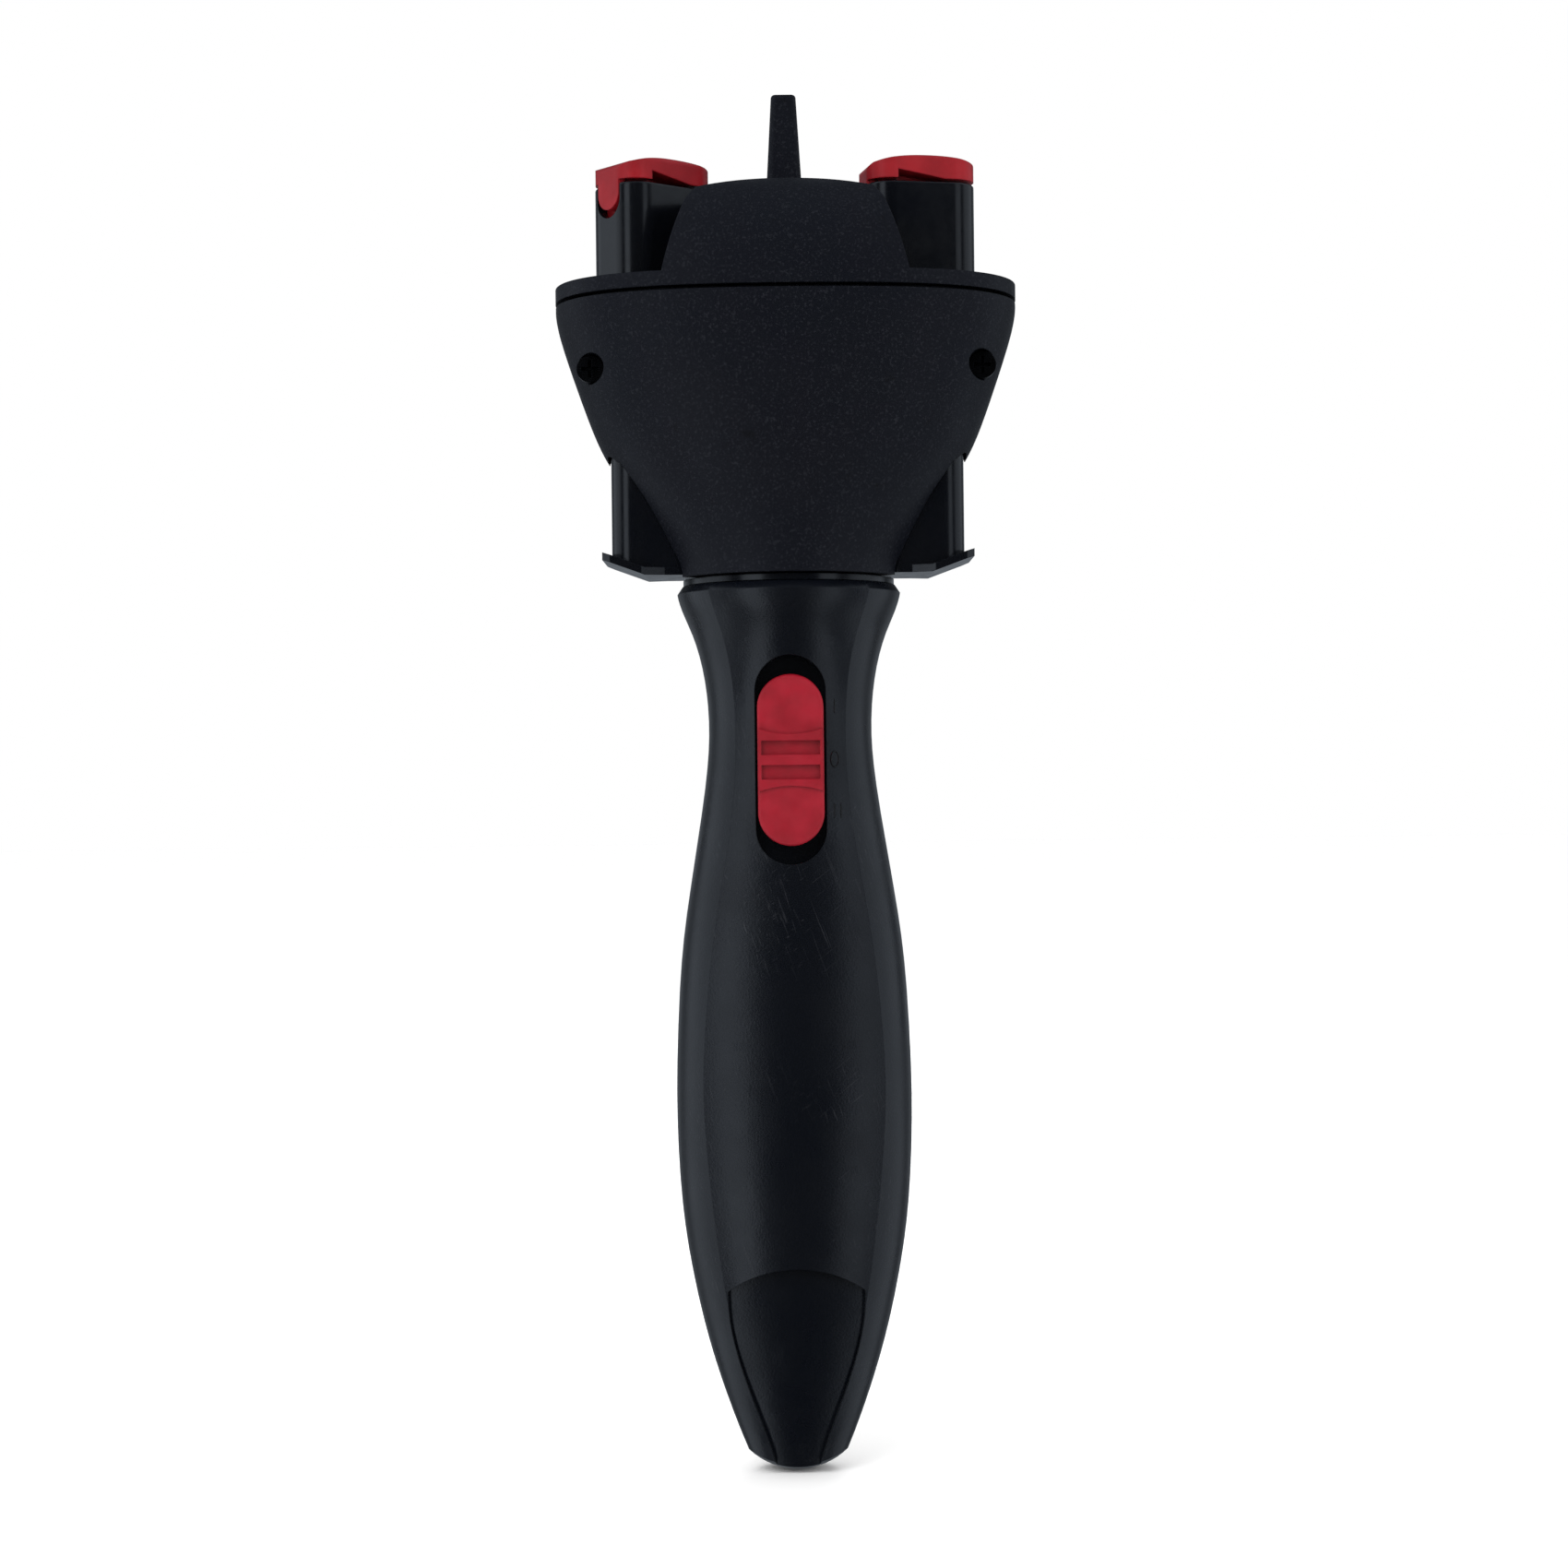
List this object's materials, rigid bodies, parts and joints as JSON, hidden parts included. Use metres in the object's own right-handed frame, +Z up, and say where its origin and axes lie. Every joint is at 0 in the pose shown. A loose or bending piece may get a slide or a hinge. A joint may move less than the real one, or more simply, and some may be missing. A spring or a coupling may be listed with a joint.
{
  "type": "hair braider",
  "caption": "Hand-held battery hair twister: funnel-shaped turning head with two red sprung strand hooks, finger levers and a centre divider on a slim waisted handle with a red slide switch.",
  "frame": {"origin": "lowest point of the handle's tail, on the axis that the head turns about", "axes": "+Z up the handle towards the hooks, -Y the side with the slide switch, +X to the right seen from the switch side"},
  "size_m": [0.0904, 0.0524, 0.27],
  "materials": {
    "black_handle": "satin",
    "black_casing": "fine spark texture",
    "black_gloss": "polished",
    "red_button": "satin",
    "red_hook": "satin",
    "screw_black": "black oxide",
    "screw_steel": "zinc plated",
    "cell_wrap": "printed film without marks",
    "nickel_steel": "nickel plated",
    "board_green": "solder mask",
    "switch_metal": "tin plated",
    "lead_copper": "pvc insulation",
    "motor_steel": "zinc plated",
    "magnet_grey": "sintered ferrite",
    "rotor_steel": "bare laminations",
    "brass_gear": "machined",
    "grey_nylon": "moulded",
    "white_nylon": "moulded",
    "shaft_steel": "ground",
    "bronze": "sintered",
    "spring_steel": "bright wire"
  },
  "bodies": {
    "handle": {"front_shell": "black_handle", "back_shell": "black_handle", "handle_screws": "screw_black", "battery_tray": "black_gloss", "left_cell": "cell_wrap", "right_cell": "cell_wrap", "battery_contacts": "nickel_steel", "circuit_board": "board_green", "slide_switch": "switch_metal", "power_leads": "lead_copper", "motor_can": "motor_steel", "motor_end_cap": "white_nylon", "motor_magnets": "magnet_grey", "ring_gear": "grey_nylon", "gearbox_lid": "grey_nylon", "neck_sleeve": "black_gloss", "neck_screws": "screw_steel", "sleeve_bushes": "bronze", "retaining_ring": "spring_steel", "neck_ratchet": "white_nylon"},
    "battery_door": {"battery_door": "black_handle"},
    "switch": {"switch_slider": "black_gloss", "switch_button": "red_button"},
    "motor_rotor": {"motor_rotor": "rotor_steel", "motor_pinion": "brass_gear"},
    "first_carrier": {"first_carrier": "white_nylon"},
    "drive_line": {"drive_shaft": "shaft_steel", "second_carrier": "white_nylon", "drive_ratchet": "white_nylon", "sun_gear": "white_nylon"},
    "head": {"head_hub": "grey_nylon", "front_casing": "black_casing", "back_casing": "black_casing", "head_screws": "screw_black", "chassis_plate": "grey_nylon", "small_head_screws": "screw_steel", "top_cover": "black_casing", "hair_divider": "black_casing"},
    "neck_pawl": {"neck_pawl": "spring_steel"},
    "drive_pawl": {"drive_pawl": "spring_steel"},
    "planet_1_1": {"planet_1_1": "white_nylon"},
    "planet_1_2": {"planet_1_2": "white_nylon"},
    "planet_1_3": {"planet_1_3": "white_nylon"},
    "planet_2_1": {"planet_2_1": "white_nylon"},
    "planet_2_2": {"planet_2_2": "white_nylon"},
    "planet_2_3": {"planet_2_3": "white_nylon"},
    "left_clamp": {"left_clamp_rotor": "black_gloss", "left_clamp_clip": "spring_steel", "left_clamp_gear": "white_nylon", "left_return_spring": "spring_steel"},
    "left_hook": {"left_strand_hook": "red_hook", "left_push_rod": "shaft_steel"},
    "left_lever": {"left_lever": "black_gloss"},
    "right_clamp": {"right_clamp_rotor": "black_gloss", "right_clamp_clip": "spring_steel", "right_clamp_gear": "white_nylon", "right_return_spring": "spring_steel"},
    "right_hook": {"right_strand_hook": "red_hook", "right_push_rod": "shaft_steel"},
    "right_lever": {"right_lever": "black_gloss"}
  },
  "joints": [
    {"name": "head_spin", "type": "hinge", "parent": "handle", "child": "head", "pos_m": [0, 0, 0.19], "axis": [0, 0, 1], "continuous": true},
    {"name": "drive_spin", "type": "hinge", "parent": "head", "child": "drive_line", "pos_m": [0, 0, 0.19], "axis": [0, 0, 1], "continuous": true},
    {"name": "motor_spin", "type": "hinge", "parent": "handle", "child": "motor_rotor", "pos_m": [0, 0, 0.137], "axis": [0, 0, 1], "continuous": true},
    {"name": "first_carrier_spin", "type": "hinge", "parent": "handle", "child": "first_carrier", "pos_m": [0, 0, 0.159], "axis": [0, 0, 1], "continuous": true},
    {"name": "battery_door_hinge", "type": "hinge", "parent": "handle", "child": "battery_door", "pos_m": [0, 0.01457, 0.0404], "axis": [-1, 0, 0], "range_deg": [0, 85]},
    {"name": "switch_slide", "type": "slide", "parent": "handle", "child": "switch", "axis": [0, 0, 1], "range_m": [-0.0033, 0.0033]},
    {"name": "neck_pawl_swing", "type": "hinge", "parent": "head", "child": "neck_pawl", "pos_m": [0, 0.0145, 0.204], "axis": [0, 0, 1], "range_deg": [0, 8], "stiffness_Nm_per_rad": 0.002, "springref_deg": -5.73},
    {"name": "drive_pawl_swing", "type": "hinge", "parent": "head", "child": "drive_pawl", "pos_m": [0, -0.0125, 0.2105], "axis": [0, 0, 1], "range_deg": [0, 8], "stiffness_Nm_per_rad": 0.002, "springref_deg": -5.73},
    {"name": "planet_1_1_spin", "type": "hinge", "parent": "first_carrier", "child": "planet_1_1", "pos_m": [0.006, 0, 0.156], "axis": [0, 0, 1], "continuous": true},
    {"name": "planet_2_1_spin", "type": "hinge", "parent": "drive_line", "child": "planet_2_1", "pos_m": [0.006, 0, 0.163], "axis": [0, 0, 1], "continuous": true},
    {"name": "planet_1_2_spin", "type": "hinge", "parent": "first_carrier", "child": "planet_1_2", "pos_m": [-0.003, 0.0052, 0.156], "axis": [0, 0, 1], "continuous": true},
    {"name": "planet_2_2_spin", "type": "hinge", "parent": "drive_line", "child": "planet_2_2", "pos_m": [-0.003, 0.0052, 0.163], "axis": [0, 0, 1], "continuous": true},
    {"name": "planet_1_3_spin", "type": "hinge", "parent": "first_carrier", "child": "planet_1_3", "pos_m": [-0.003, -0.0052, 0.156], "axis": [0, 0, 1], "continuous": true},
    {"name": "planet_2_3_spin", "type": "hinge", "parent": "drive_line", "child": "planet_2_3", "pos_m": [-0.003, -0.0052, 0.163], "axis": [0, 0, 1], "continuous": true},
    {"name": "left_clamp_spin", "type": "hinge", "parent": "head", "child": "left_clamp", "pos_m": [-0.026, 0, 0.225], "axis": [0, 0, 1], "continuous": true},
    {"name": "left_lever_lift", "type": "slide", "parent": "head", "child": "left_lever", "axis": [0, 0, 1], "range_m": [0, 0.0075], "stiffness_N_per_m": 150, "springref_m": -0.01},
    {"name": "left_hook_lift", "type": "slide", "parent": "left_clamp", "child": "left_hook", "axis": [0, 0, 1], "range_m": [0, 0.0075], "deforming": ["left_return_spring"]},
    {"name": "right_clamp_spin", "type": "hinge", "parent": "head", "child": "right_clamp", "pos_m": [0.026, 0, 0.225], "axis": [0, 0, 1], "continuous": true},
    {"name": "right_lever_lift", "type": "slide", "parent": "head", "child": "right_lever", "axis": [0, 0, 1], "range_m": [0, 0.0075], "stiffness_N_per_m": 150, "springref_m": -0.01},
    {"name": "right_hook_lift", "type": "slide", "parent": "right_clamp", "child": "right_hook", "axis": [0, 0, 1], "range_m": [0, 0.0075], "deforming": ["right_return_spring"]}
  ],
  "couplings": [
    {"joint": "motor_spin", "follows": "drive_spin", "ratio": 16},
    {"joint": "first_carrier_spin", "follows": "drive_spin", "ratio": 4},
    {"joint": "planet_1_1_spin", "follows": "drive_spin", "ratio": -12},
    {"joint": "planet_2_1_spin", "follows": "drive_spin", "ratio": -3},
    {"joint": "planet_1_2_spin", "follows": "drive_spin", "ratio": -12},
    {"joint": "planet_2_2_spin", "follows": "drive_spin", "ratio": -3},
    {"joint": "planet_1_3_spin", "follows": "drive_spin", "ratio": -12},
    {"joint": "planet_2_3_spin", "follows": "drive_spin", "ratio": -3},
    {"joint": "left_clamp_spin", "follows": "drive_spin", "ratio": -1},
    {"joint": "left_hook_lift", "follows": "left_lever_lift", "ratio": 1},
    {"joint": "right_clamp_spin", "follows": "drive_spin", "ratio": -1},
    {"joint": "right_hook_lift", "follows": "right_lever_lift", "ratio": 1}
  ]
}
